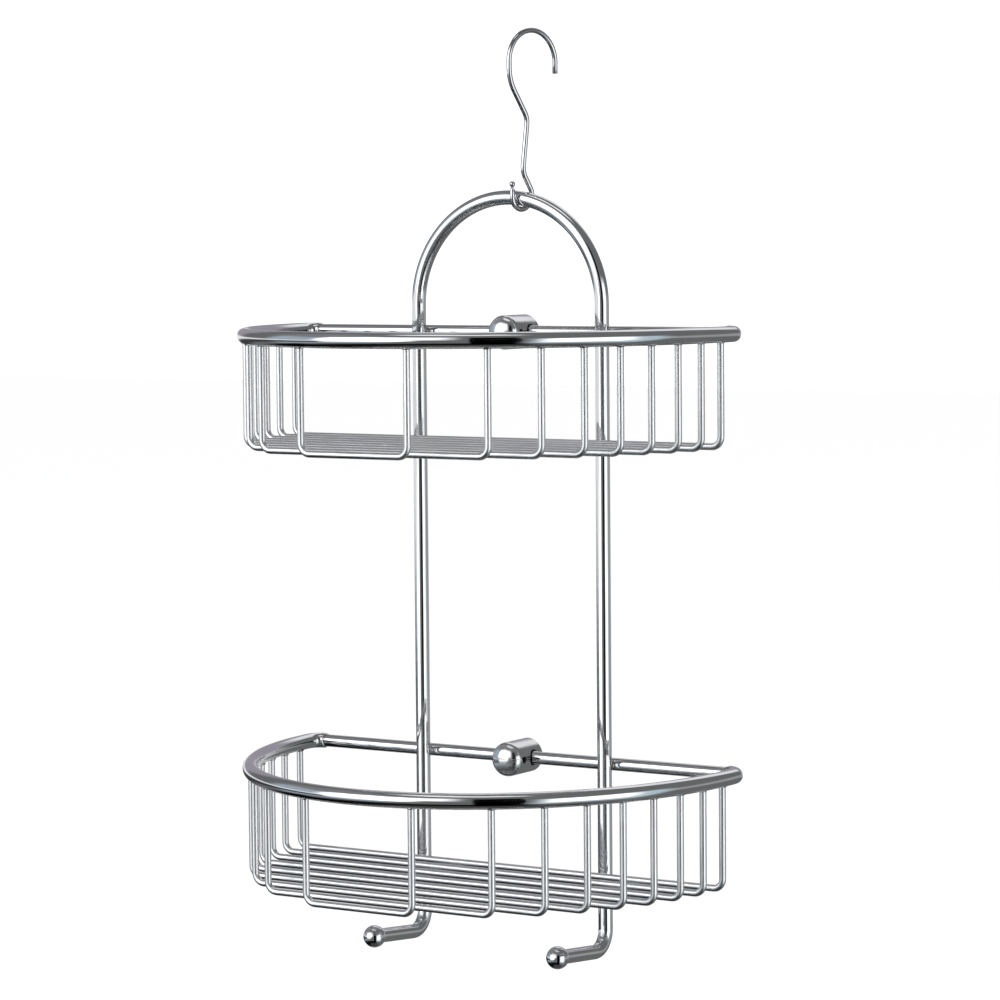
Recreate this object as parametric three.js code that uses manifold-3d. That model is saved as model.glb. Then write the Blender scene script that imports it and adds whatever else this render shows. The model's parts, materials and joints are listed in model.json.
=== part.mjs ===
// Two-tier shower caddy in chrome-plated steel rod, with an S-shaped hanging hook.
// Millimetres, +Z up, +X to the user's right, +Y towards the wall.
// The origin is the middle of the S-hook's upper loop, where the rail that it hangs on lies.

import * as THREE from "three";
import * as BufferGeometryUtils from "three/addons/utils/BufferGeometryUtils.js";
import Module from "manifold-3d";

// Frame: one rod, an arch over two legs that end in forward hooks.
const legSpacing = 110;
const frameRod = 7.4;
const hookBend = 10.5;
const hookRise = 5.5; // degrees above level
const hookReach = 47.3; // leg axis to ball centre
const ballDrop = 322.8; // arch centre down to ball centre
const ballDiameter = 11.5;

// Baskets: a bow-shaped rim closed by a straight back bar.
const rimRod = 8;
const rimHalfWidth = 128.7;
const rimDepth = 146;
const rimCorner = 7;
const barRod = 6.5;
const barSetback = 7.3; // back bar axis behind the leg axis
const basketHeights = { upper: -13.5, lower: -232.7 };

// Basket wires: U-shaped, side by side, all running left to right.
const wireRod = 3.5;
const wireCount = 9;
const wirePitch = 16.5;
const firstWire = -141.1;
const wireInset = 0.7;
const wireCorner = 5.5;
const floorDepth = 55.2; // rim axis down to floor wire axis

// Wall posts: domed studs that slide along the back bars.
const postDiameter = 17.6;
const postBack = 15.7;
const domeStart = -4.5;
const domeDepth = 6;
const barHole = 8.4;
const screwDiameter = 3.2;
const screwLength = 5;
const screwRecess = 0.6;
const screwAt = -2.6;
const socketAcross = 1.5;
const socketDepth = 1.6;

// S-hook: planar wire, turned a little on the arch. Its points are along the wire's plane and up,
// counted from the middle of the eye that holds the arch.
const hookWire = 2.7;
const hookAside = 8.2;
const hookTurn = 75; // degrees from +X
const eyeRadius = 6.5;
const eyeTip = 7.7;
const eyeLift = 1.05; // eye centre above the arch rod's axis
const eyeSweep = 145; // degrees, from the front, under the arch and part of the way up behind it
const eyeBend = new THREE.Vector2(7.9, 1.3);
const shankFoot = new THREE.Vector2(0.9, 12.4);
const shankHead = new THREE.Vector2(4.3, 39.7);
const bendReach = 3.3;
const loopRadius = 16;
const loopCentre = new THREE.Vector2(8, 68.1);
const loopNeck = 9.6; // loop centre down to the neck's bend
const neckReach = 6;
const loopTail = 5.6;

const gap = 0.3; // air kept between pieces that are welded or touch
const tiny = 1e-4;

// Shapes ---------------------------------------------------------------------------------------

function radians(degrees) {
  return THREE.MathUtils.degToRad(degrees);
}

function turnOf(curve) {
  if (curve instanceof THREE.LineCurve) {
    return 0;
  }
  if (curve instanceof THREE.EllipseCurve) {
    return Math.abs(curve.aEndAngle - curve.aStartAngle);
  }
  return curve.getTangent(0).angleTo(curve.getTangent(1));
}

// Points and directions along a flat path: one every few degrees on bends, only the ends on straights.
function pathStations(path, stepDegrees, place) {
  const stations = [];
  const curves = path.curves.filter((curve) => curve.getLength() > tiny);
  for (const curve of curves) {
    const steps = Math.max(1, Math.ceil(turnOf(curve) / radians(stepDegrees)));
    for (let i = stations.length > 0 ? 1 : 0; i <= steps; i += 1) {
      const point = curve.getPoint(i / steps);
      const tangent = curve.getTangent(i / steps);
      stations.push({ point: place(point.x, point.y, 1), tangent: place(tangent.x, tangent.y, 0) });
    }
  }
  return stations;
}

class BentRod extends THREE.Curve {
  constructor(stations) {
    super();
    this.stations = stations;
  }

  getPointAt(t, target = new THREE.Vector3()) {
    return target.copy(this.stations[Math.round(t * (this.stations.length - 1))].point);
  }

  getTangentAt(t, target = new THREE.Vector3()) {
    return target.copy(this.stations[Math.round(t * (this.stations.length - 1))].tangent);
  }
}

function rodGeometry(stations, diameter, sides) {
  const corners = Array.from({ length: sides }, (_, i) => {
    const angle = ((i + 0.5) / sides) * 2 * Math.PI;
    return new THREE.Vector2(Math.cos(angle), Math.sin(angle)).multiplyScalar(diameter / 2);
  });
  return new THREE.ExtrudeGeometry(new THREE.Shape(corners), {
    steps: stations.length - 1,
    extrudePath: new BentRod(stations),
  });
}

const wasm = await Module();
wasm.setup();

function toSolid(geometry) {
  const bare = geometry.clone();
  bare.deleteAttribute("normal");
  bare.deleteAttribute("uv");
  const merged = BufferGeometryUtils.mergeVertices(bare, tiny);
  return new wasm.Manifold(new wasm.Mesh({
    numProp: 3,
    vertProperties: merged.attributes.position.array,
    triVerts: new Uint32Array(merged.index.array),
  }));
}

function toGeometry(solid) {
  const mesh = solid.getMesh();
  const geometry = new THREE.BufferGeometry();
  geometry.setAttribute("position", new THREE.BufferAttribute(mesh.vertProperties, 3));
  geometry.setIndex(new THREE.BufferAttribute(mesh.triVerts, 1));
  geometry.computeVertexNormals();
  return geometry;
}

// Assembly -------------------------------------------------------------------------------------

const eyeCentre = new THREE.Vector3(
  hookAside,
  0,
  Math.sqrt((legSpacing / 2) ** 2 - hookAside ** 2) + eyeLift,
);
const hookDirection = new THREE.Vector3(Math.cos(radians(hookTurn)), Math.sin(radians(hookTurn)), 0);
const railCentre = eyeCentre.clone().addScaledVector(hookDirection, loopCentre.x);
railCentre.z += loopCentre.y;

const caddy = new THREE.Group();
caddy.position.copy(railCentre).negate();

const chrome = { color: 0xc9ced3, roughness: 0.08, metalness: 1 };
const satinChrome = { color: 0xa4a6a8, roughness: 0.22, metalness: 1 };
const blackSteel = { color: 0x1b1b1d, roughness: 0.4, metalness: 0.8 };

function addPiece(name, geometry, look = chrome) {
  const mesh = new THREE.Mesh(geometry, new THREE.MeshStandardMaterial(look));
  mesh.name = name;
  caddy.add(mesh);
  return mesh;
}

// Main frame: left hook, left leg, arch, right leg and right hook, in one rod.
const legX = legSpacing / 2;
const rise = new THREE.Vector2(Math.cos(radians(hookRise)), Math.sin(radians(hookRise)));
const ballFlat = Math.sqrt((ballDiameter / 2) ** 2 - (frameRod / 2) ** 2);
const armEnd = new THREE.Vector2(
  hookReach - (ballFlat + gap) * rise.x,
  -ballDrop - (ballFlat + gap) * rise.y,
);
const bendLow = new THREE.Vector2(hookBend * (1 + rise.y), 0);
bendLow.y = armEnd.y - (armEnd.x - bendLow.x) * (rise.y / rise.x);
const bendCentreZ = bendLow.y + hookBend * rise.x;

const hookPath = new THREE.Path();
hookPath.moveTo(0, 0);
hookPath.lineTo(0, bendCentreZ);
hookPath.absarc(hookBend, bendCentreZ, hookBend, Math.PI, 1.5 * Math.PI + radians(hookRise), false);
hookPath.lineTo(armEnd.x, armEnd.y);

const archPath = new THREE.Path();
archPath.absarc(0, 0, legX, Math.PI, 0, true);

function legStations(x) {
  return pathStations(hookPath, 20, (forward, z, isPoint) => new THREE.Vector3(isPoint * x, -forward, z));
}

const leftLeg = legStations(-legX)
  .reverse()
  .map(({ point, tangent }) => ({ point, tangent: tangent.negate() }));
const arch = pathStations(archPath, 9, (x, z) => new THREE.Vector3(x, 0, z));
const frameStations = [...leftLeg, ...arch.slice(1, -1), ...legStations(legX)];
addPiece("main_frame", rodGeometry(frameStations, frameRod, 12));

// Ball tips, flat where they meet the rod's ends.
function ballGeometry() {
  const profile = [new THREE.Vector2(0, -ballFlat)];
  const start = -Math.acos(frameRod / ballDiameter);
  const rings = 9;
  for (let i = 0; i < rings; i += 1) {
    const angle = start + ((Math.PI / 2 - start) * i) / rings;
    profile.push(new THREE.Vector2(Math.cos(angle), Math.sin(angle)).multiplyScalar(ballDiameter / 2));
  }
  profile.push(new THREE.Vector2(0, ballDiameter / 2));
  return new THREE.LatheGeometry(profile, 16);
}

for (const [side, x] of [["left", -legX], ["right", legX]]) {
  const ball = addPiece(`hook_ball_${side}`, ballGeometry());
  ball.position.set(x, -hookReach, -ballDrop);
  ball.rotation.x = Math.PI - radians(hookRise);
}

// Rims, back bars and basket wires.
const bowCentreY = barSetback - rimCorner;

function rimStations(height) {
  const path = new THREE.Path();
  const cornerX = rimHalfWidth - rimCorner;
  path.absarc(-cornerX, bowCentreY, rimCorner, Math.PI / 2, Math.PI, false);
  path.absellipse(0, bowCentreY, rimHalfWidth, rimDepth, Math.PI, 2 * Math.PI, false, 0);
  path.absarc(cornerX, bowCentreY, rimCorner, 0, Math.PI / 2, false);
  return pathStations(path, 9, (x, y, isPoint) => new THREE.Vector3(x, y, isPoint * height));
}

function wireHalfWidth(y) {
  return rimHalfWidth * Math.sqrt(1 - ((y - bowCentreY) / rimDepth) ** 2) - wireInset;
}

function wireStations(y, rimHeight) {
  const halfWidth = wireHalfWidth(y);
  const top = rimHeight - rimRod / 2 - gap;
  const floor = rimHeight - floorDepth;
  const bendX = halfWidth - wireCorner;
  const bendZ = floor + wireCorner;
  const path = new THREE.Path();
  path.moveTo(-halfWidth, top);
  path.lineTo(-halfWidth, bendZ);
  path.absarc(-bendX, bendZ, wireCorner, Math.PI, 1.5 * Math.PI, false);
  path.absarc(bendX, bendZ, wireCorner, 1.5 * Math.PI, 2 * Math.PI, false);
  path.lineTo(halfWidth, top);
  return pathStations(path, 22.5, (x, z, isPoint) => new THREE.Vector3(x, isPoint * y, z));
}

for (const [level, height] of Object.entries(basketHeights)) {
  addPiece(`${level}_rim`, rodGeometry(rimStations(height), rimRod, 12));

  const barEnd = rimHalfWidth - rimCorner - gap;
  const barPath = new THREE.Path();
  barPath.moveTo(-barEnd, 0);
  barPath.lineTo(barEnd, 0);
  const barStations = pathStations(barPath, 90, (x, _, isPoint) => (
    new THREE.Vector3(x, isPoint * barSetback, isPoint * height)));
  addPiece(`${level}_back_bar`, rodGeometry(barStations, barRod, 12));

  for (let i = 0; i < wireCount; i += 1) {
    const y = firstWire + i * wirePitch;
    addPiece(`${level}_wire_${i + 1}`, rodGeometry(wireStations(y, height), wireRod, 8));
  }
}

// Wall posts: a domed cylinder with a cross hole for the back bar and a side hole for its grub screw.
function cylinderAlongX(radius, length, sides) {
  return new THREE.CylinderGeometry(radius, radius, length, sides).rotateZ(-Math.PI / 2);
}

function postGeometry() {
  const radius = postDiameter / 2;
  const profile = [new THREE.Vector2(0, -postBack), new THREE.Vector2(radius, -postBack)];
  const rings = 6;
  for (let i = 0; i < rings; i += 1) {
    const angle = (i / rings) * (Math.PI / 2);
    profile.push(new THREE.Vector2(radius * Math.cos(angle), -domeStart + domeDepth * Math.sin(angle)));
  }
  profile.push(new THREE.Vector2(0, -domeStart + domeDepth));
  const body = new THREE.LatheGeometry(profile, 24).rotateX(Math.PI);
  const barBore = cylinderAlongX(barHole / 2, 2 * postDiameter, 16).translate(0, barSetback, 0);
  const screwSeat = screwLength + screwRecess + gap;
  const screwBore = cylinderAlongX(screwDiameter / 2 + gap, 2 * screwSeat, 12);
  screwBore.translate(radius, screwAt, 0);
  return toGeometry(toSolid(body).subtract(toSolid(barBore)).subtract(toSolid(screwBore)));
}

function screwGeometry() {
  const body = cylinderAlongX(screwDiameter / 2, screwLength, 12);
  const socket = cylinderAlongX(socketAcross / Math.sqrt(3), 2 * socketDepth, 6);
  socket.translate(screwLength / 2, 0, 0);
  return toGeometry(toSolid(body).subtract(toSolid(socket)));
}

for (const [level, height] of Object.entries(basketHeights)) {
  const post = addPiece(`${level}_wall_post`, postGeometry(), satinChrome);
  post.position.z = height;
  const screw = addPiece(`${level}_grub_screw`, screwGeometry(), blackSteel);
  screw.position.set(postDiameter / 2 - screwRecess - screwLength / 2, screwAt, height);
}

// S-hook: from the tip in front of the arch, round the eye under it, up the shank and over the loop.
function softBend(path, corner, next, reach) {
  const before = path.currentPoint.clone().sub(corner).setLength(reach).add(corner);
  const after = next.clone().sub(corner).setLength(reach).add(corner);
  path.lineTo(before.x, before.y);
  path.quadraticCurveTo(corner.x, corner.y, after.x, after.y);
}

const loopStart = new THREE.Vector2(loopCentre.x - loopRadius, loopCentre.y);
const loopEnd = new THREE.Vector2(loopCentre.x + loopRadius, loopCentre.y - loopTail);
const neckBend = loopStart.clone().setY(loopCentre.y - loopNeck);

const hookShape = new THREE.Path();
hookShape.moveTo(-eyeRadius, eyeTip);
hookShape.lineTo(-eyeRadius, 0);
hookShape.absarc(0, 0, eyeRadius, Math.PI, Math.PI + radians(eyeSweep), false);
softBend(hookShape, eyeBend, shankFoot, bendReach);
softBend(hookShape, shankFoot, shankHead, bendReach);
softBend(hookShape, shankHead, neckBend, bendReach);
softBend(hookShape, neckBend, loopStart, neckReach);
hookShape.lineTo(loopStart.x, loopStart.y);
hookShape.absarc(loopCentre.x, loopCentre.y, loopRadius, Math.PI, 0, true);
hookShape.lineTo(loopEnd.x, loopEnd.y);

const hookStations = pathStations(hookShape, 15, (along, z, isPoint) => (
  hookDirection.clone().multiplyScalar(along).setZ(z).addScaledVector(eyeCentre, isPoint)));
addPiece("s_hook", rodGeometry(hookStations, hookWire, 10));

export default caddy;
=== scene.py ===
import json
import math

import bmesh
import bpy
from mathutils import Matrix, Vector


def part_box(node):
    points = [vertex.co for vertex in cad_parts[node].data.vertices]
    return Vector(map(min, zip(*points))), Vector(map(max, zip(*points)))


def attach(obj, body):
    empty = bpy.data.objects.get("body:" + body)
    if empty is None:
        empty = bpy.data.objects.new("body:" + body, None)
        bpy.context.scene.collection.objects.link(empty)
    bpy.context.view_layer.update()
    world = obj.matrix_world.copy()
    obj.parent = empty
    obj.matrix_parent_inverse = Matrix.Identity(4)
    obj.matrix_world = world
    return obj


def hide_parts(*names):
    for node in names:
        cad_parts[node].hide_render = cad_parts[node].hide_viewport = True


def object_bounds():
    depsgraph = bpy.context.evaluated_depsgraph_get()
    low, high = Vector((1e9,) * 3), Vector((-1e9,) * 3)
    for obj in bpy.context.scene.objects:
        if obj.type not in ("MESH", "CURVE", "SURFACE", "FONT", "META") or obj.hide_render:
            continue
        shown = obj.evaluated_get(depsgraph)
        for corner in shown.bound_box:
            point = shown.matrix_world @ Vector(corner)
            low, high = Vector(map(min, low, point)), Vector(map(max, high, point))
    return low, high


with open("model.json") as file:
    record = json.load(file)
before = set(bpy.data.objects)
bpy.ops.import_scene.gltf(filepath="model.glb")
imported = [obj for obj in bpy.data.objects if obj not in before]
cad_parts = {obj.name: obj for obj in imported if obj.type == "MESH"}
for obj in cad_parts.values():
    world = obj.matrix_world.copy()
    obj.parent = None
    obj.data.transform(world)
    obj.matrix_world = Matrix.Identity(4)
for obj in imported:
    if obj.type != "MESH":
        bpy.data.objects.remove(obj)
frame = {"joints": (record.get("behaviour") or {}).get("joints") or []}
cad_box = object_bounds()

# Main frame -----------------------------------------------------------------------------------
# One length of round steel rod, bent to an arch over two legs, with a short hook forward at the
# foot of each leg. The rod is cold drawn, bent round formers, polished, then nickel and chrome
# plated with the baskets already welded to it.

mm = 0.001
leg_spacing = 110 * mm
frame_rod = 7.4 * mm
foot_bend = 10.5 * mm
foot_rise = math.radians(5.5)
rod_sides = 40
rod_bend_steps = 40
swing = next(joint for joint in frame["joints"] if joint["name"] == "caddy_swing")
swing_axis = Vector(swing["pos_m"])
arch_radius = leg_spacing / 2
frame_low, frame_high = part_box("main_frame")
arch_x = (frame_low.x + frame_high.x) / 2
arch_centre = Vector((
    arch_x,
    swing_axis.y,
    swing_axis.z - math.sqrt(arch_radius ** 2 - (swing_axis.x - arch_x) ** 2),
))


def socket_named(sockets, key):
    """The socket with this name, or at this place, among those that are in use."""
    used = [socket for socket in sockets if socket.enabled]
    if isinstance(key, int):
        return used[key]
    return next(socket for socket in used if socket.name == key)


def add_node(tree, kind, inputs, **settings):
    """Adds a node. An input given as a socket is linked, and any other value is set on it."""
    node = tree.nodes.new(kind)
    for name, value in settings.items():
        setattr(node, name, value)
    for key, value in inputs.items():
        target = socket_named(node.inputs, key)
        if isinstance(value, bpy.types.NodeSocket):
            tree.links.new(value, target)
        else:
            target.default_value = value
    return node


def calc(tree, operation, *values):
    """The result of one sum on numbers or sockets."""
    return add_node(tree, "ShaderNodeMath", dict(enumerate(values)), operation=operation).outputs[0]


def new_shape_tree(name, sizes, counts=(), materials=("Material",)):
    """A geometry tree with a socket for the start shape and for each size, count and material."""
    tree = bpy.data.node_groups.new(name, "GeometryNodeTree")
    tree.interface.new_socket("Shape", in_out="INPUT", socket_type="NodeSocketGeometry")
    for size in sizes:
        tree.interface.new_socket(size, in_out="INPUT", socket_type="NodeSocketFloat")
    for count in counts:
        tree.interface.new_socket(count, in_out="INPUT", socket_type="NodeSocketInt")
    for material in materials:
        tree.interface.new_socket(material, in_out="INPUT", socket_type="NodeSocketMaterial")
    tree.interface.new_socket("Shape", in_out="OUTPUT", socket_type="NodeSocketGeometry")
    return tree, tree.nodes.new("NodeGroupInput").outputs


def end_shape_tree(tree, *shapes):
    """Ends a geometry tree: real geometry only, each shape in its own material."""
    join = tree.nodes.new("GeometryNodeJoinGeometry")
    for shape, material in shapes:
        real = add_node(tree, "GeometryNodeRealizeInstances", {"Geometry": shape})
        painted = add_node(tree, "GeometryNodeSetMaterial", {
            "Geometry": real.outputs[0],
            "Material": material,
        })
        tree.links.new(painted.outputs[0], join.inputs[0])
    tree.links.new(join.outputs[0], tree.nodes.new("NodeGroupOutput").inputs[0])


def sweep_rod(tree, path, diameter, sides, girth=1.0):
    """Sweeps a round rod along a path, and notes for the material where each point is on the rod."""
    marked = add_node(tree, "GeometryNodeStoreNamedAttribute", {
        "Geometry": path,
        "Name": "along",
        "Value": add_node(tree, "GeometryNodeSplineParameter", {}).outputs["Length"],
    }, domain="POINT", data_type="FLOAT")
    ring = add_node(tree, "GeometryNodeCurvePrimitiveCircle", {
        "Resolution": sides,
        "Radius": calc(tree, "DIVIDE", diameter, 2.0),
    })
    marked_ring = add_node(tree, "GeometryNodeStoreNamedAttribute", {
        "Geometry": ring.outputs[0],
        "Name": "around",
        "Value": add_node(tree, "GeometryNodeInputPosition", {}).outputs[0],
    }, domain="POINT", data_type="FLOAT_VECTOR")
    return add_node(tree, "GeometryNodeCurveToMesh", {
        "Curve": marked.outputs[0],
        "Profile Curve": marked_ring.outputs[0],
        "Scale": girth,
        "Fill Caps": True,
    }).outputs[0]


def run_tree(name, tree, values, start=None):
    """Runs a geometry tree on a start shape and keeps the result as a plain mesh."""
    piece = bpy.data.objects.new(name, start or bpy.data.meshes.new(name))
    bpy.context.scene.collection.objects.link(piece)
    modifier = piece.modifiers.new("shape", "NODES")
    modifier.node_group = tree
    for item in tree.interface.items_tree:
        if item.in_out == "INPUT" and item.name in values:
            modifier[item.identifier] = values[item.name]
    evaluated = piece.evaluated_get(bpy.context.evaluated_depsgraph_get())
    result = bpy.data.meshes.new_from_object(evaluated)
    piece.modifiers.remove(modifier)
    piece.data = result
    return piece


def new_corner_line(name, corners):
    """Straight edges through corners, each a place, the radius it is bent to, and a share of the girth."""
    line = bpy.data.meshes.new(name)
    edges = [(i, i + 1) for i in range(len(corners) - 1)]
    line.from_pydata([place for place, bend, girth in corners], edges, [])
    bends = line.attributes.new("bend", "FLOAT", "POINT")
    girths = line.attributes.new("girth", "FLOAT", "POINT")
    for i, (place, bend, girth) in enumerate(corners):
        bends.data[i].value = bend
        girths.data[i].value = girth
    return line


def build_bent_rod_tree():
    """A rod bent at the corners of a line."""
    tree, given = new_shape_tree("bent_rod", ["Rod diameter"], ["Sides", "Steps per bend"])
    bend = add_node(tree, "GeometryNodeInputNamedAttribute", {"Name": "bend"}, data_type="FLOAT")
    girth = add_node(tree, "GeometryNodeInputNamedAttribute", {"Name": "girth"}, data_type="FLOAT")
    line = add_node(tree, "GeometryNodeMeshToCurve", {"Mesh": given["Shape"]})
    bent = add_node(tree, "GeometryNodeFilletCurve", {
        "Curve": line.outputs[0],
        "Count": given["Steps per bend"],
        "Radius": bend.outputs[0],
        "Limit Radius": True,
    }, mode="POLY")
    rod = sweep_rod(tree, bent.outputs[0], given["Rod diameter"], given["Sides"], girth.outputs[0])
    end_shape_tree(tree, (rod, given["Material"]))
    return tree


noise_low = 0.3
noise_high = 0.7


def texture_number(tree, vector, scale, detail, low, high):
    """Noise brought into the range that a socket takes."""
    noise = add_node(tree, "ShaderNodeTexNoise", {"Vector": vector, "Scale": scale, "Detail": detail})
    return add_node(tree, "ShaderNodeMapRange", {
        "Value": noise.outputs[0],
        "From Min": noise_low,
        "From Max": noise_high,
        "To Min": low,
        "To Max": high,
    }).outputs[0]


# How many patches each finish has to a metre, and how deep its marks and ripples are.
tint_patches = 35.0
polish_patches = 90.0
draw_mark_lines = 2600.0
ripple_waves = 160.0
draw_mark_stretch = 0.02
draw_mark_depth = 0.02 * mm
ripple_depth = 0.2 * mm
bright_deep = (0.80, 0.815, 0.83)
bright_pale = (0.87, 0.87, 0.875)


def new_chrome(name, smooth, dull, draw_marks, ripple, deep=bright_deep, pale=bright_pale):
    """Bright chrome over drawn steel: smears on the polish, faint marks from the die, a slight ripple."""
    material = bpy.data.materials.new(name)
    material.use_nodes = True
    tree = material.node_tree
    shader = tree.nodes["Principled BSDF"]
    shader.inputs["Metallic"].default_value = 1.0
    place = add_node(tree, "ShaderNodeTexCoord", {}).outputs["Object"]
    along = add_node(tree, "ShaderNodeAttribute", {}, attribute_name="along").outputs["Fac"]
    around = add_node(tree, "ShaderNodeAttribute", {}, attribute_name="around").outputs["Vector"]
    around_parts = add_node(tree, "ShaderNodeSeparateXYZ", {"Vector": around})
    drawn = add_node(tree, "ShaderNodeCombineXYZ", {
        "X": around_parts.outputs["X"],
        "Y": around_parts.outputs["Y"],
        "Z": calc(tree, "MULTIPLY", along, draw_mark_stretch),
    }).outputs[0]
    tint = add_node(tree, "ShaderNodeMix", {
        "Factor": texture_number(tree, place, tint_patches, 3.0, 0.0, 1.0),
        "A": (*deep, 1.0),
        "B": (*pale, 1.0),
    }, data_type="RGBA")
    tree.links.new(socket_named(tint.outputs, "Result"), shader.inputs["Base Color"])
    polish = texture_number(tree, place, polish_patches, 4.0, smooth, dull)
    tree.links.new(polish, shader.inputs["Roughness"])
    marks = add_node(tree, "ShaderNodeBump", {
        "Strength": draw_marks,
        "Distance": draw_mark_depth,
        "Height": texture_number(tree, drawn, draw_mark_lines, 2.0, 0.0, 1.0),
    })
    rippled = add_node(tree, "ShaderNodeBump", {
        "Strength": ripple,
        "Distance": ripple_depth,
        "Height": texture_number(tree, place, ripple_waves, 1.0, 0.0, 1.0),
        "Normal": marks.outputs[0],
    })
    tree.links.new(rippled.outputs[0], shader.inputs["Normal"])
    return material


rod_chrome = new_chrome("rod_chrome", smooth=0.04, dull=0.09, draw_marks=0.03, ripple=0.05)
bent_rod_tree = build_bent_rod_tree()

ball_diameter = 11.5 * mm
left_ball_low, left_ball_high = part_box("hook_ball_left")
ball_y = left_ball_low.y + ball_diameter / 2
ball_z = (left_ball_low.z + left_ball_high.z) / 2
foot_z = ball_z - math.tan(foot_rise) * (arch_centre.y - ball_y)
arch_top = arch_centre.z + arch_radius
nearly = 0.998  # of the widest bend that fits, so that two bends never run into each other
frame_corners = []
for side in (-1, 1):
    leg_x = arch_centre.x + side * arch_radius
    half = [
        (Vector((leg_x, ball_y, ball_z)), 0.0, 1.0),
        (Vector((leg_x, arch_centre.y, foot_z)), foot_bend, 1.0),
        (Vector((leg_x, arch_centre.y, arch_top)), nearly * arch_radius, 1.0),
    ]
    frame_corners.extend(half[::-side])
main_frame = run_tree("main_frame_rod", bent_rod_tree, {
    "Rod diameter": frame_rod,
    "Sides": rod_sides,
    "Steps per bend": rod_bend_steps,
    "Material": rod_chrome,
}, new_corner_line("frame_line", frame_corners))
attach(main_frame, "caddy")
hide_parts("main_frame")

# Ball tips ------------------------------------------------------------------------------------
# A turned steel ball on the end of each foot hook, so that a flannel or sponge loop isn't torn.
# It is welded on, ground to a small round neck behind the ball, and plated with the frame.

ball_neck = 0.9 * mm
ball_steps = 28
neck_steps = 6
turned_sides = 48
same_point = 0.001 * mm


def spin_profile(name, profile, steps, place, material):
    """A turned piece: a profile of (radius, distance along the axis), spun round and put in place."""
    shell = bmesh.new()
    rings = [shell.verts.new((radius, 0.0, along)) for radius, along in profile]
    edges = [shell.edges.new(pair) for pair in zip(rings, rings[1:])]
    bmesh.ops.spin(
        shell, geom=rings + edges, cent=(0, 0, 0), axis=(0, 0, 1), angle=math.tau, steps=steps
    )
    bmesh.ops.remove_doubles(shell, verts=shell.verts, dist=same_point)
    bmesh.ops.recalc_face_normals(shell, faces=shell.faces)
    mesh = bpy.data.meshes.new(name)
    shell.to_mesh(mesh)
    shell.free()
    mesh.transform(place)
    mesh.shade_smooth()
    mesh.materials.append(material)
    piece = bpy.data.objects.new(name, mesh)
    bpy.context.scene.collection.objects.link(piece)
    return piece


def arc_points(centre, radius, start, stop, steps):
    """Points on an arc, as (radius, distance along the axis), with the angles in degrees."""
    angles = [math.radians(start + (stop - start) * i / steps) for i in range(steps + 1)]
    return [(centre[0] + radius * math.cos(a), centre[1] + radius * math.sin(a)) for a in angles]


def ball_profile():
    """Ball from its pole to the neck, then the neck's hollow round down to the arm's surface."""
    radius = ball_diameter / 2
    arm = frame_rod / 2
    neck_along = -math.sqrt((radius + ball_neck) ** 2 - (arm + ball_neck) ** 2)
    touch = math.degrees(math.atan2(neck_along, arm + ball_neck))
    ball = arc_points((0, 0), radius, 90, touch, ball_steps)
    hollow = arc_points((arm + ball_neck, neck_along), ball_neck, 180 + touch, 180, neck_steps)
    return [(0.0, radius)] + ball[1:] + hollow[1:] + [(0.0, hollow[-1][1])]


for side, x in (("left", arch_centre.x - arch_radius), ("right", arch_centre.x + arch_radius)):
    forward = Matrix.Rotation(math.pi / 2 - foot_rise, 4, "X")
    ball = spin_profile(
        f"hook_ball_{side}_turned", ball_profile(), turned_sides,
        Matrix.Translation((x, ball_y, ball_z)) @ forward, rod_chrome,
    )
    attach(ball, "caddy")
    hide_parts(f"hook_ball_{side}")

# Basket rims ----------------------------------------------------------------------------------
# The top edge of each basket is one 8 mm rod, rolled to a bow in front and turned in at both rear
# corners, where its rounded ends are welded to the thinner back bar. It is plated with the frame.

rim_rod = 8 * mm
rim_half_width = 128.7 * mm
rim_depth = 146 * mm
rim_corner = 7 * mm
rim_shoulder = 1.2 * mm
rim_end_taper = 0.2
rim_steps = 240
tiny = 1e-6


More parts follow.
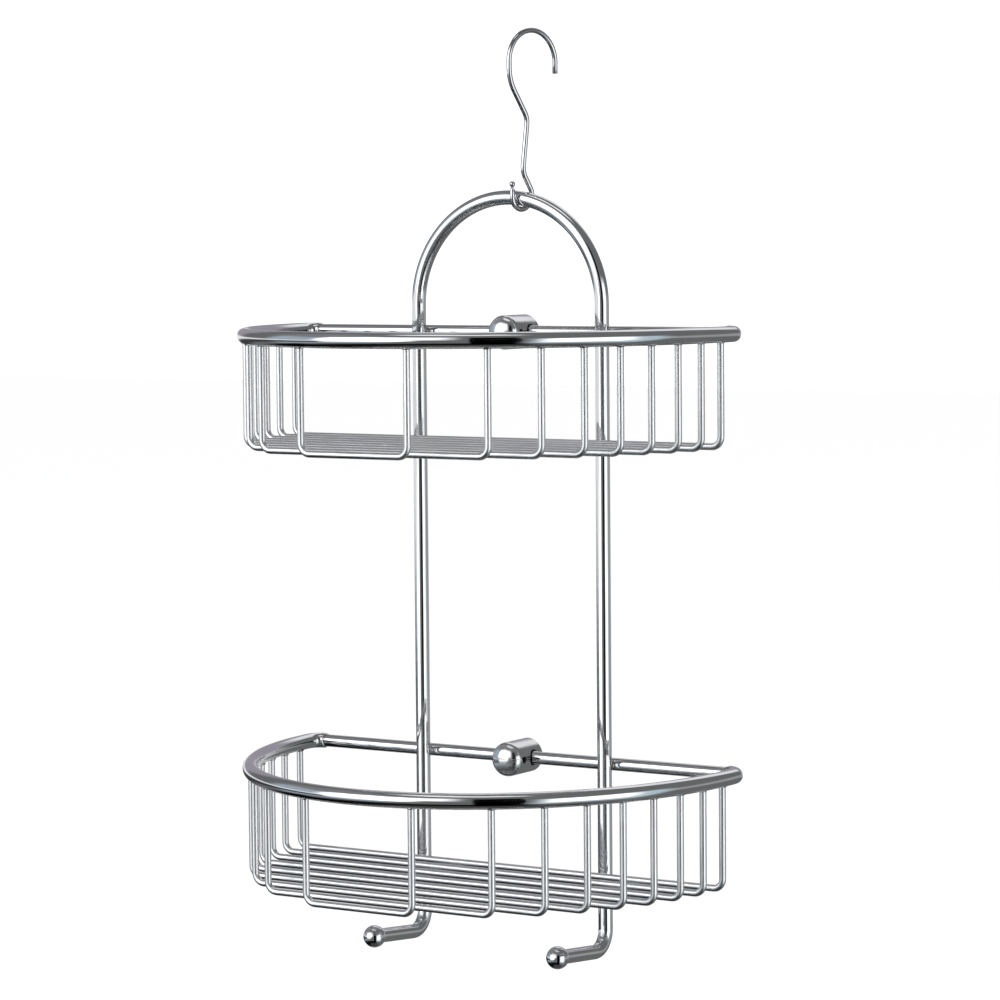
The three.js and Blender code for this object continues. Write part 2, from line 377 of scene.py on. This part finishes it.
def build_rim_tree():
    """A full turn of a circle, its rear half drawn in to two small corners and its front half to a bow."""
    sizes = ["Half width", "Depth", "Corner radius", "Middle X", "Middle Y", "Height"]
    tree, given = new_shape_tree("basket_rim", sizes + ["Rod diameter", "Shoulder"], ["Sides", "Steps"])
    turn = add_node(tree, "GeometryNodeCurveArc", {
        "Resolution": given["Steps"],
        "Radius": 1.0,
        "Start Angle": math.pi / 2,
        "Sweep Angle": math.tau,
    })
    place = add_node(tree, "ShaderNodeSeparateXYZ", {
        "Vector": add_node(tree, "GeometryNodeInputPosition", {}).outputs[0],
    })
    across, back = place.outputs["X"], place.outputs["Y"]
    share = add_node(tree, "GeometryNodeSplineParameter", {}).outputs["Factor"]
    side = calc(tree, "SIGN", calc(tree, "SUBTRACT", share, 0.5))
    behind = calc(tree, "GREATER_THAN", back, 0.0)
    corner_middle = calc(tree, "SUBTRACT", given["Half width"], given["Corner radius"])
    corner_x = calc(tree, "MULTIPLY_ADD", across, given["Corner radius"],
                    calc(tree, "MULTIPLY", side, corner_middle))
    bow_x = calc(tree, "MULTIPLY", across, given["Half width"])
    reach = add_node(tree, "ShaderNodeMix", {
        "Factor": behind,
        "A": given["Depth"],
        "B": given["Corner radius"],
    }).outputs[0]
    x = add_node(tree, "ShaderNodeMix", {"Factor": behind, "A": bow_x, "B": corner_x}).outputs[0]
    bow = add_node(tree, "GeometryNodeSetPosition", {
        "Geometry": turn.outputs[0],
        "Position": add_node(tree, "ShaderNodeCombineXYZ", {
            "X": calc(tree, "ADD", x, given["Middle X"]),
            "Y": calc(tree, "MULTIPLY_ADD", back, reach, given["Middle Y"]),
            "Z": given["Height"],
        }).outputs[0],
    })
    travelled = add_node(tree, "GeometryNodeSplineParameter", {})
    whole = calc(tree, "DIVIDE", travelled.outputs["Length"],
                 calc(tree, "MAXIMUM", travelled.outputs["Factor"], tiny))
    from_end = calc(tree, "MINIMUM", travelled.outputs["Length"],
                    calc(tree, "SUBTRACT", whole, travelled.outputs["Length"]))
    bare = calc(tree, "SUBTRACT", 1.0, calc(tree, "MINIMUM",
                                            calc(tree, "DIVIDE", from_end, given["Shoulder"]), 1.0))
    girth = calc(tree, "MULTIPLY_ADD", calc(tree, "POWER", bare, 2.0), -rim_end_taper, 1.0)
    rod = sweep_rod(tree, bow.outputs[0], given["Rod diameter"], given["Sides"], girth)
    end_shape_tree(tree, (rod, given["Material"]))
    return tree


rim_tree = build_rim_tree()
for level in ("upper", "lower"):
    rim_low, rim_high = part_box(f"{level}_rim")
    rim = run_tree(f"{level}_rim_rod", rim_tree, {
        "Half width": rim_half_width,
        "Depth": rim_depth,
        "Corner radius": rim_corner,
        "Middle X": (rim_low.x + rim_high.x) / 2,
        "Middle Y": rim_low.y + rim_rod / 2 + rim_depth,
        "Height": (rim_low.z + rim_high.z) / 2,
        "Rod diameter": rim_rod,
        "Shoulder": rim_shoulder,
        "Sides": rod_sides,
        "Steps": rim_steps,
        "Material": rod_chrome,
    })
    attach(rim, "caddy")
    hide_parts(f"{level}_rim")

# Back bars ------------------------------------------------------------------------------------
# A straight 6.5 mm rod closes the back of each basket. It is welded to the rim's two ends and to
# the back of both legs, and carries the sliding wall post.

bar_rod = 6.5 * mm
bar_bite = 1.5 * mm

for level in ("upper", "lower"):
    bar_low, bar_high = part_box(f"{level}_back_bar")
    bar_middle = (bar_low + bar_high) / 2
    bar_half = Vector(((bar_high.x - bar_low.x) / 2 + bar_bite, 0, 0))
    bar = run_tree(f"{level}_back_bar_rod", bent_rod_tree, {
        "Rod diameter": bar_rod,
        "Sides": rod_sides,
        "Steps per bend": 1,
        "Material": rod_chrome,
    }, new_corner_line(f"{level}_bar_line", [
        (bar_middle - bar_half, 0.0, 1.0),
        (bar_middle, 0.0, 1.0),
        (bar_middle + bar_half, 0.0, 1.0),
    ]))
    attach(bar, "caddy")
    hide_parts(f"{level}_back_bar")

# Basket wires ---------------------------------------------------------------------------------
# Nine 3.5 mm wires for each basket, each bent to a flat-bottomed U and resistance welded up under
# the rim. The row of their level stretches is the basket's floor, open so that water drains.

wire_rod = 3.5 * mm
wire_count = 9
wire_inset = 0.7 * mm
wire_bite = 0.3 * mm
wire_bend = 5 * mm
wire_sides = 24
wire_bend_steps = 12
corners_per_wire = 4
middle_corner = (corners_per_wire - 1) / 2
bead_radius = 2.2 * mm
bead_height = 0.9 * mm
bead_lumps = 900.0
bead_lump_height = 0.4 * mm


def add_beads(tree, points, chosen, size):
    """A small uneven blob of weld metal at each chosen point."""
    blob = add_node(tree, "GeometryNodeMeshIcoSphere", {"Radius": 1.0, "Subdivisions": 3})
    blobs = add_node(tree, "GeometryNodeRealizeInstances", {
        "Geometry": add_node(tree, "GeometryNodeInstanceOnPoints", {
            "Points": points,
            "Selection": chosen,
            "Instance": blob.outputs[0],
            "Scale": size,
        }).outputs[0],
    })
    unevenness = add_node(tree, "ShaderNodeTexNoise", {"Scale": bead_lumps, "Detail": 1.0})
    swelling = calc(
        tree, "MULTIPLY_ADD", unevenness.outputs[0], 2 * bead_lump_height, -bead_lump_height
    )
    uneven = add_node(tree, "GeometryNodeSetPosition", {
        "Geometry": blobs.outputs[0],
        "Offset": add_node(tree, "ShaderNodeVectorMath", {
            0: add_node(tree, "GeometryNodeInputNormal", {}).outputs[0],
            "Scale": swelling,
        }, operation="SCALE").outputs[0],
    })
    return add_node(tree, "GeometryNodeSetShadeSmooth", {"Geometry": uneven.outputs[0]}).outputs[0]


def build_wires_tree():
    """A row of U-shaped wires, each as wide as the bow is at its place, with a weld bead at each end."""
    sizes = ["Rod diameter", "First Y", "Pitch", "Half width", "Depth", "Inset", "Bend radius",
             "Middle X", "Middle Y", "Top", "Floor", "Bead radius", "Bead height"]
    tree, given = new_shape_tree(
        "basket_wires", sizes, ["Wires", "Sides", "Steps per bend"], ["Material", "Bead material"]
    )
    row = add_node(tree, "GeometryNodeMeshLine", {
        "Count": given["Wires"],
        "Offset": (0.0, 0.0, 0.0),
    })
    four_points = add_node(tree, "GeometryNodeResampleCurve", {
        "Curve": add_node(tree, "GeometryNodeCurvePrimitiveLine", {}).outputs[0],
        "Count": corners_per_wire,
    })
    lines = add_node(tree, "GeometryNodeRealizeInstances", {
        "Geometry": add_node(tree, "GeometryNodeInstanceOnPoints", {
            "Points": row.outputs[0],
            "Instance": four_points.outputs[0],
        }).outputs[0],
    })
    index = add_node(tree, "GeometryNodeInputIndex", {}).outputs[0]
    wire = calc(tree, "FLOOR", calc(tree, "DIVIDE", calc(tree, "ADD", index, 0.5), corners_per_wire))
    corner = calc(tree, "SUBTRACT", index, calc(tree, "MULTIPLY", wire, corners_per_wire))
    y = calc(tree, "MULTIPLY_ADD", wire, given["Pitch"], given["First Y"])
    forward = calc(tree, "DIVIDE", calc(tree, "SUBTRACT", y, given["Middle Y"]), given["Depth"])
    bow = calc(tree, "SQRT", calc(tree, "SUBTRACT", 1.0, calc(tree, "POWER", forward, 2.0)))
    half_width = calc(tree, "SUBTRACT", calc(tree, "MULTIPLY", bow, given["Half width"]), given["Inset"])
    side = calc(tree, "SIGN", calc(tree, "SUBTRACT", corner, middle_corner))
    from_middle = calc(tree, "ABSOLUTE", calc(tree, "SUBTRACT", corner, middle_corner))
    upper = calc(tree, "GREATER_THAN", from_middle, 1.0)
    height = add_node(tree, "ShaderNodeMix", {
        "Factor": upper,
        "A": given["Floor"],
        "B": given["Top"],
    }).outputs[0]
    bent_lines = add_node(tree, "GeometryNodeSetPosition", {
        "Geometry": lines.outputs[0],
        "Position": add_node(tree, "ShaderNodeCombineXYZ", {
            "X": calc(tree, "MULTIPLY_ADD", side, half_width, given["Middle X"]),
            "Y": y,
            "Z": height,
        }).outputs[0],
    })
    bent = add_node(tree, "GeometryNodeFilletCurve", {
        "Curve": bent_lines.outputs[0],
        "Count": given["Steps per bend"],
        "Radius": given["Bend radius"],
        "Limit Radius": True,
    }, mode="POLY")
    rods = sweep_rod(tree, bent.outputs[0], given["Rod diameter"], given["Sides"])
    ends = add_node(tree, "GeometryNodeCurveEndpointSelection", {}).outputs[0]
    bead_size = add_node(tree, "ShaderNodeCombineXYZ", {
        "X": given["Bead radius"],
        "Y": given["Bead radius"],
        "Z": given["Bead height"],
    }).outputs[0]
    beads = add_beads(tree, bent_lines.outputs[0], ends, bead_size)
    end_shape_tree(tree, (rods, given["Material"]), (beads, given["Bead material"]))
    return tree


wire_chrome = new_chrome("wire_chrome", smooth=0.28, dull=0.4, draw_marks=0.03, ripple=0.03)
weld_chrome = new_chrome(
    "weld_chrome", smooth=0.2, dull=0.4, draw_marks=0.0, ripple=0.8,
    deep=(0.33, 0.29, 0.25), pale=(0.7, 0.69, 0.67),
)
wires_tree = build_wires_tree()
for level in ("upper", "lower"):
    rim_low, rim_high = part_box(f"{level}_rim")
    first_low, first_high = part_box(f"{level}_wire_1")
    last_low, last_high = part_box(f"{level}_wire_{wire_count}")
    first_y = (first_low.y + first_high.y) / 2
    last_y = (last_low.y + last_high.y) / 2
    wires = run_tree(f"{level}_basket_wires", wires_tree, {
        "Rod diameter": wire_rod,
        "First Y": first_y,
        "Pitch": (last_y - first_y) / (wire_count - 1),
        "Half width": rim_half_width,
        "Depth": rim_depth,
        "Inset": wire_inset,
        "Bend radius": wire_bend,
        "Middle X": (rim_low.x + rim_high.x) / 2,
        "Middle Y": rim_low.y + rim_rod / 2 + rim_depth,
        "Top": (rim_low.z + rim_high.z) / 2 - rim_rod / 2 + wire_bite,
        "Floor": first_low.z + wire_rod / 2,
        "Bead radius": bead_radius,
        "Bead height": bead_height,
        "Wires": wire_count,
        "Sides": wire_sides,
        "Steps per bend": wire_bend_steps,
        "Material": wire_chrome,
        "Bead material": weld_chrome,
    })
    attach(wires, "caddy")
    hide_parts(*[f"{level}_wire_{i + 1}" for i in range(wire_count)])

# Frame welds ----------------------------------------------------------------------------------
# Blobs of weld metal fill the corner where each back bar crosses behind a leg, and a flat bead runs
# round the bar where it meets the rim's ends. The plating over them is duller and a little brown.

leg_weld_offset = 1.9 * mm
leg_weld = (1.7 * mm, 1.5 * mm, 2.3 * mm)
end_weld = (0.8 * mm, 3.45 * mm, 3.45 * mm)


def build_blobs_tree():
    """One blob at each vertex of the start mesh, of the size noted on that vertex."""
    tree, given = new_shape_tree("weld_blobs", [])
    size = add_node(tree, "GeometryNodeInputNamedAttribute", {"Name": "size"}, data_type="FLOAT_VECTOR")
    blobs = add_beads(tree, given["Shape"], True, size.outputs[0])
    end_shape_tree(tree, (blobs, given["Material"]))
    return tree


blobs_tree = build_blobs_tree()
for level in ("upper", "lower"):
    bar_low, bar_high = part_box(f"{level}_back_bar")
    bar_middle = (bar_low + bar_high) / 2
    touching_y = (arch_centre.y + frame_rod / 2 + bar_middle.y - bar_rod / 2) / 2
    places = []
    sizes = []
    for side in (-1, 1):
        leg_x = arch_centre.x + side * arch_radius
        for flank in (-1, 1):
            places.append((leg_x + flank * leg_weld_offset, touching_y, bar_middle.z))
            sizes.append(leg_weld)
        places.append((bar_middle.x + side * (bar_high.x - bar_low.x) / 2, bar_middle.y, bar_middle.z))
        sizes.append(end_weld)
    spots = bpy.data.meshes.new(f"{level}_weld_spots")
    spots.from_pydata(places, [], [])
    noted = spots.attributes.new("size", "FLOAT_VECTOR", "POINT")
    for i, size in enumerate(sizes):
        noted.data[i].vector = size
    welds = run_tree(f"{level}_frame_welds", blobs_tree, {"Material": weld_chrome}, spots)
    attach(welds, "caddy")

# Wall posts -----------------------------------------------------------------------------------
# A domed stud turned from brass bar and chrome plated, with a flat back for the wall. The back bar
# passes through an oversize cross hole, so the post slides sideways until its grub screw is tight.

post_diameter = 17.6 * mm
dome_depth = 6 * mm
bar_hole = 8.4 * mm
back_chamfer = 0.5 * mm
screw_play = 0.4 * mm
seat_clearance = 0.3 * mm
dome_steps = 24
post_sides = 64
post_edge = math.radians(35)
post_chrome = new_chrome("post_chrome", smooth=0.1, dull=0.2, draw_marks=0.0, ripple=0.1)


def cut_hole(piece, start, diameter, length, sides):
    """Takes a hole out of a piece, from a start point and towards +X."""
    to_the_right = Matrix.Rotation(math.pi / 2, 4, "Y")
    cutter = spin_profile(
        "hole_cutter",
        [(0.0, 0.0), (diameter / 2, 0.0), (diameter / 2, length), (0.0, length)],
        sides, Matrix.Translation(start) @ to_the_right, piece.data.materials[0],
    )
    hole = piece.modifiers.new("hole", "BOOLEAN")
    hole.operation = "DIFFERENCE"
    hole.solver = "EXACT"
    hole.object = cutter
    evaluated = piece.evaluated_get(bpy.context.evaluated_depsgraph_get())
    result = bpy.data.meshes.new_from_object(evaluated)
    piece.modifiers.remove(hole)
    piece.data = result
    bpy.data.objects.remove(cutter)


for level in ("upper", "lower"):
    post_low, post_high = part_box(f"{level}_wall_post")
    bar_low, bar_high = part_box(f"{level}_back_bar")
    screw_low, screw_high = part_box(f"{level}_grub_screw")
    post_centre = (post_low + post_high) / 2
    post_length = post_high.y - post_low.y
    radius = post_diameter / 2
    dome = [
        (r * radius, post_length - dome_depth + h * dome_depth)
        for r, h in arc_points((0, 0), 1.0, 0, 90, dome_steps)
    ]
    profile = [(0.0, 0.0), (radius - back_chamfer, 0.0), (radius, back_chamfer)] + dome
    facing = Matrix.Translation((post_centre.x, post_high.y, post_centre.z)) @ Matrix.Rotation(
        math.pi / 2, 4, "X"
    )
    post = spin_profile(f"{level}_wall_post_turned", profile, post_sides, facing, post_chrome)
    bar_y = (bar_low.y + bar_high.y) / 2
    bar_z = (bar_low.z + bar_high.z) / 2
    bar_start = (post_centre.x - post_diameter, bar_y, bar_z)
    cut_hole(post, bar_start, bar_hole, 2 * post_diameter, turned_sides)
    screw_y = (screw_low.y + screw_high.y) / 2
    screw_z = (screw_low.z + screw_high.z) / 2
    seat = screw_high.z - screw_low.z + screw_play
    screw_start = (screw_low.x - seat_clearance, screw_y, screw_z)
    cut_hole(post, screw_start, seat, post_diameter, turned_sides)
    post.data.set_sharp_from_angle(angle=post_edge)
    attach(post, f"{level}_post")
    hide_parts(f"{level}_wall_post")

# Grub screws ----------------------------------------------------------------------------------
# A short headless screw of blackened steel in the side of each post. A 1.5 mm hexagon key in its
# socket tightens it on the back bar, so that the post stays where it was slid to.

screw_diameter = 3.2 * mm
screw_chamfer = 0.3 * mm
socket_across = 1.5 * mm
socket_depth = 1.6 * mm
socket_sides = 6
screw_sides = 36
screw_edge = math.radians(30)
stain_patches = 900.0
blacking_grain = 1500.0
screw_black = bpy.data.materials.new("screw_black")
screw_black.use_nodes = True
black_tree = screw_black.node_tree
black_shader = black_tree.nodes["Principled BSDF"]
black_shader.inputs["Metallic"].default_value = 0.9
black_place = add_node(black_tree, "ShaderNodeTexCoord", {}).outputs["Object"]
oil_stain = add_node(black_tree, "ShaderNodeMix", {
    "Factor": texture_number(black_tree, black_place, stain_patches, 3.0, 0.0, 1.0),
    "A": (0.018, 0.018, 0.02, 1.0),
    "B": (0.05, 0.048, 0.046, 1.0),
}, data_type="RGBA")
black_tree.links.new(socket_named(oil_stain.outputs, "Result"), black_shader.inputs["Base Color"])
blacking = texture_number(black_tree, black_place, blacking_grain, 4.0, 0.3, 0.5)
black_tree.links.new(blacking, black_shader.inputs["Roughness"])

for level in ("upper", "lower"):
    screw_low, screw_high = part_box(f"{level}_grub_screw")
    length = screw_high.x - screw_low.x
    radius = screw_diameter / 2
    profile = [
        (0.0, 0.0), (radius - screw_chamfer, 0.0), (radius, screw_chamfer),
        (radius, length - screw_chamfer), (radius - screw_chamfer, length), (0.0, length),
    ]
    y = (screw_low.y + screw_high.y) / 2
    z = (screw_low.z + screw_high.z) / 2
    lying = Matrix.Translation((screw_low.x, y, z)) @ Matrix.Rotation(math.pi / 2, 4, "Y")
    screw = spin_profile(f"{level}_grub_screw_socketed", profile, screw_sides, lying, screw_black)
    across_corners = socket_across / math.cos(math.pi / socket_sides)
    socket_floor = (screw_high.x - socket_depth, y, z)
    cut_hole(screw, socket_floor, across_corners, 2 * socket_depth, socket_sides)
    screw.data.set_sharp_from_angle(angle=screw_edge)
    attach(screw, f"{level}_post")
    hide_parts(f"{level}_grub_screw")

# S-hook ---------------------------------------------------------------------------------------
# One bent wire that hangs the caddy: a wide loop for the rail, a kinked shank, and a small eye
# round the arch. Its tip is upset into a little ball, and the loop's end is cut and deburred.

hook_wire = 2.7 * mm
hook_turn = math.radians(75)
eye_lift = 1.05 * mm
tip_ball = 1.5 * mm
hook_direction = Vector((math.cos(hook_turn), math.sin(hook_turn), 0))
eye_centre = swing_axis + Vector((0, 0, eye_lift))


def hook_place(across, up):
    """A point of the hook's own flat shape, in millimetres from the middle of the eye."""
    return eye_centre + hook_direction * across * mm + Vector((0, 0, up * mm))


# The hook's flat shape, in millimetres. The tip ball is swollen over the first few points.
eye_radius = 6.5
eye_sweep = math.radians(55)
tip_height = 7.7
tip_length = 4.6
loop_radius = 16
loop_across = 8
loop_height = 68.1
loop_entry = 9.6
loop_end = 5.35
cut_end = 5.6
cut_girth = 0.82
ball_rings = 10
ball_first = 0.04
ball_span = 0.82
hook_steps = 24
loop_left = loop_across - loop_radius
loop_right = loop_across + loop_radius
loop_crown = loop_height + loop_radius
eye_bend = nearly * eye_radius * mm
loop_bend = nearly * loop_radius * mm
hook_corners = []
for i in range(ball_rings + 1):
    angle = math.pi * (ball_first + ball_span * i / ball_rings)
    down = (tip_ball / mm) * (1 - math.cos(angle))
    girth = math.sin(angle) * tip_ball / (hook_wire / 2)
    hook_corners.append((hook_place(-eye_radius, tip_height - down), 0.0, girth))
hook_corners += [
    (hook_place(-eye_radius, tip_height - tip_length), 0.0, 1.0),
    (hook_place(-eye_radius, -eye_radius), eye_bend, 1.0),
    (hook_place(eye_radius * math.tan(eye_sweep / 2), -eye_radius), eye_bend, 1.0),
    (hook_place(7.9, 1.3), 5.5 * mm, 1.0),
    (hook_place(0.9, 12.4), 9.2 * mm, 1.0),
    (hook_place(4.3, 39.7), 9.0 * mm, 1.0),
    (hook_place(loop_left, loop_height - loop_entry), 20 * mm, 1.0),
    (hook_place(loop_left, loop_crown), loop_bend, 1.0),
    (hook_place(loop_right, loop_crown), loop_bend, 1.0),
    (hook_place(loop_right, loop_height - loop_end), 0.0, 1.0),
    (hook_place(loop_right, loop_height - cut_end), 0.0, cut_girth),
]
hook_chrome = new_chrome(
    "hook_chrome", smooth=0.07, dull=0.15, draw_marks=0.06, ripple=0.06,
    deep=(0.58, 0.575, 0.6), pale=(0.7, 0.695, 0.71),
)
s_hook = run_tree("s_hook_wire", bent_rod_tree, {
    "Rod diameter": hook_wire,
    "Sides": hook_steps,
    "Steps per bend": hook_steps,
    "Material": hook_chrome,
}, new_corner_line("hook_line", hook_corners))
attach(s_hook, "hook")
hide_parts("s_hook")

# Studio ---------------------------------------------------------------------------------------
# A pale floor and a white surround. Bright chrome shows only what stands round it, so the room that
# it mirrors is a grey one with soft windows, a light ceiling, and one black flag near the camera.
# Only mirrored rays see that room. All others see the plain white surround.

floor_drop = 0.3
floor_half = 12.0
floor_pale = (0.9, 0.9, 0.9, 1)
floor_dull = 0.9
surround_light = (1.15, 1.15, 1.15, 1.0)
lamp_height = 3.0
lamp_width = 3.0
lamp_watts = 12.0
floor_z = cad_box[0].z - floor_drop
floor_mesh = bpy.data.meshes.new("floor")
floor_mesh.from_pydata(
    [(x * floor_half, y * floor_half, floor_z) for x, y in ((-1, -1), (1, -1), (1, 1), (-1, 1))],
    [], [(0, 1, 2, 3)],
)
floor = bpy.data.objects.new("floor", floor_mesh)
bpy.context.scene.collection.objects.link(floor)
floor_paint = bpy.data.materials.new("floor_paint")
floor_paint.use_nodes = True
floor_shader = floor_paint.node_tree.nodes["Principled BSDF"]
floor_shader.inputs["Base Color"].default_value = floor_pale
floor_shader.inputs["Roughness"].default_value = floor_dull
floor_mesh.materials.append(floor_paint)
floor.visible_glossy = False

# What the chrome mirrors, the later over the earlier. Each is a name, the middle of it as degrees
# round from the front and degrees up, its width and height, how soft its edge is, and its light.
wall_light = (0.145, 0.15, 0.15)
mirrored = [
    ("floor behind", (180, -90), (360, 54), 10, (0.06, 0.06, 0.058)),
    ("dark floor in front", (-30, -50), (190, 28), 10, (0.006, 0.0055, 0.005)),
    ("dark corner", (-97, -40), (46, 24), 10, (0.002, 0.002, 0.002)),
    ("ceiling light", (0, 76), (150, 16), 8, (1.0, 1.0, 1.0)),
    ("upper left wall", (-70, 44), (60, 30), 16, (0.22, 0.22, 0.23)),
    ("rear window", (-165, 42), (54, 34), 14, (0.85, 0.85, 0.87)),
    ("rear wall", (-155, 8), (70, 34), 12, (0.32, 0.3, 0.35)),
    ("wall behind", (150, -4), (100, 18), 8, (0.33, 0.33, 0.33)),
    ("light strip behind", (-162, -3), (44, 12), 6, (0.6, 0.6, 0.62)),
    ("left window's blue edge", (-50, 2), (76, 54), 14, (0.36, 0.43, 0.5)),
    ("left window's top", (-10, 26), (56, 36), 16, (1.3, 1.3, 1.36)),
    ("left window", (-26, 13), (48, 42), 18, (2.6, 2.6, 2.6)),
    ("shade low on the left", (-100, -12), (100, 11), 6, (0.05, 0.05, 0.053)),
    ("light far wall", (-84, -2), (132, 6), 4, (0.85, 0.86, 0.87)),
    ("right window's blue edge", (84, -14), (56, 60), 12, (0.5, 0.6, 0.66)),
    ("right window", (79, -6), (36, 44), 14, (1.7, 1.7, 1.7)),
    ("black flag", (39, -8), (23, 96), 1.5, (0.0, 0.0, 0.0)),
]


def build_mirrored_room(tree):
    """The room's light in each direction, from soft-edged panels laid over grey walls."""
    direction = add_node(tree, "ShaderNodeTexCoord", {}).outputs["Generated"]
    parts = add_node(tree, "ShaderNodeSeparateXYZ", {"Vector": direction}).outputs
    backward = calc(tree, "MULTIPLY", parts["Y"], -1.0)
    round_from_front = calc(tree, "DEGREES", calc(tree, "ARCTAN2", parts["X"], backward))
    up = calc(tree, "DEGREES", calc(tree, "ARCSINE", parts["Z"]))
    light = None
    for name, (middle, height), (wide, tall), edge, colour in mirrored:
        covers = []
        aside = calc(tree, "WRAP", calc(tree, "SUBTRACT", round_from_front, middle), 180.0, -180.0)
        above = calc(tree, "SUBTRACT", up, height)
        for offset, size in ((aside, wide), (above, tall)):
            covers.append(add_node(tree, "ShaderNodeMapRange", {
                "Value": calc(tree, "ABSOLUTE", offset),
                "From Min": (size + edge) / 2,
                "From Max": (size - edge) / 2,
            }, interpolation_type="SMOOTHSTEP").outputs[0])
        panel = add_node(tree, "ShaderNodeMix", {
            "Factor": calc(tree, "MULTIPLY", *covers),
            "A": light or (*wall_light, 1.0),
            "B": (*colour, 1.0),
        }, data_type="RGBA", label=name)
        light = socket_named(panel.outputs, "Result")
    return light


world = bpy.data.worlds.new("studio")
bpy.context.scene.world = world
world.use_nodes = True
sky = world.node_tree
seen = add_node(sky, "ShaderNodeMix", {
    "Factor": add_node(sky, "ShaderNodeLightPath", {}).outputs["Is Glossy Ray"],
    "A": surround_light,
    "B": build_mirrored_room(sky),
}, data_type="RGBA")
sky.links.new(socket_named(seen.outputs, "Result"), sky.nodes["Background"].inputs["Color"])

floor_lamp_data = bpy.data.lights.new("floor_lamp", "AREA")
floor_lamp_data.shape = "DISK"
floor_lamp_data.size = lamp_width
floor_lamp_data.energy = lamp_watts
floor_lamp = bpy.data.objects.new("floor_lamp", floor_lamp_data)
floor_lamp.location = (0.0, 0.0, lamp_height)
floor_lamp.visible_glossy = False
floor_lamp.visible_camera = False
bpy.context.scene.collection.objects.link(floor_lamp)

bpy.context.scene.view_settings.view_transform = "Standard"

sensor_width = 36
lens_length = 129.05
camera_offset = Vector((0.97147, -1.55219, 0.03606))
camera_data = bpy.data.cameras.new("camera")
camera_data.sensor_width = sensor_width
camera_data.lens = lens_length
camera = bpy.data.objects.new("camera", camera_data)
bpy.context.scene.collection.objects.link(camera)
camera_azimuth = math.radians(32.21)
camera_elevation = math.radians(4.23)
camera_roll = math.radians(-0.48)
camera.matrix_world = (
    Matrix.Translation(arch_centre + camera_offset)
    @ Matrix.Rotation(camera_azimuth, 4, "Z")
    @ Matrix.Rotation(math.pi / 2 - camera_elevation, 4, "X")
    @ Matrix.Rotation(camera_roll, 4, "Z")
)
bpy.context.scene.camera = camera
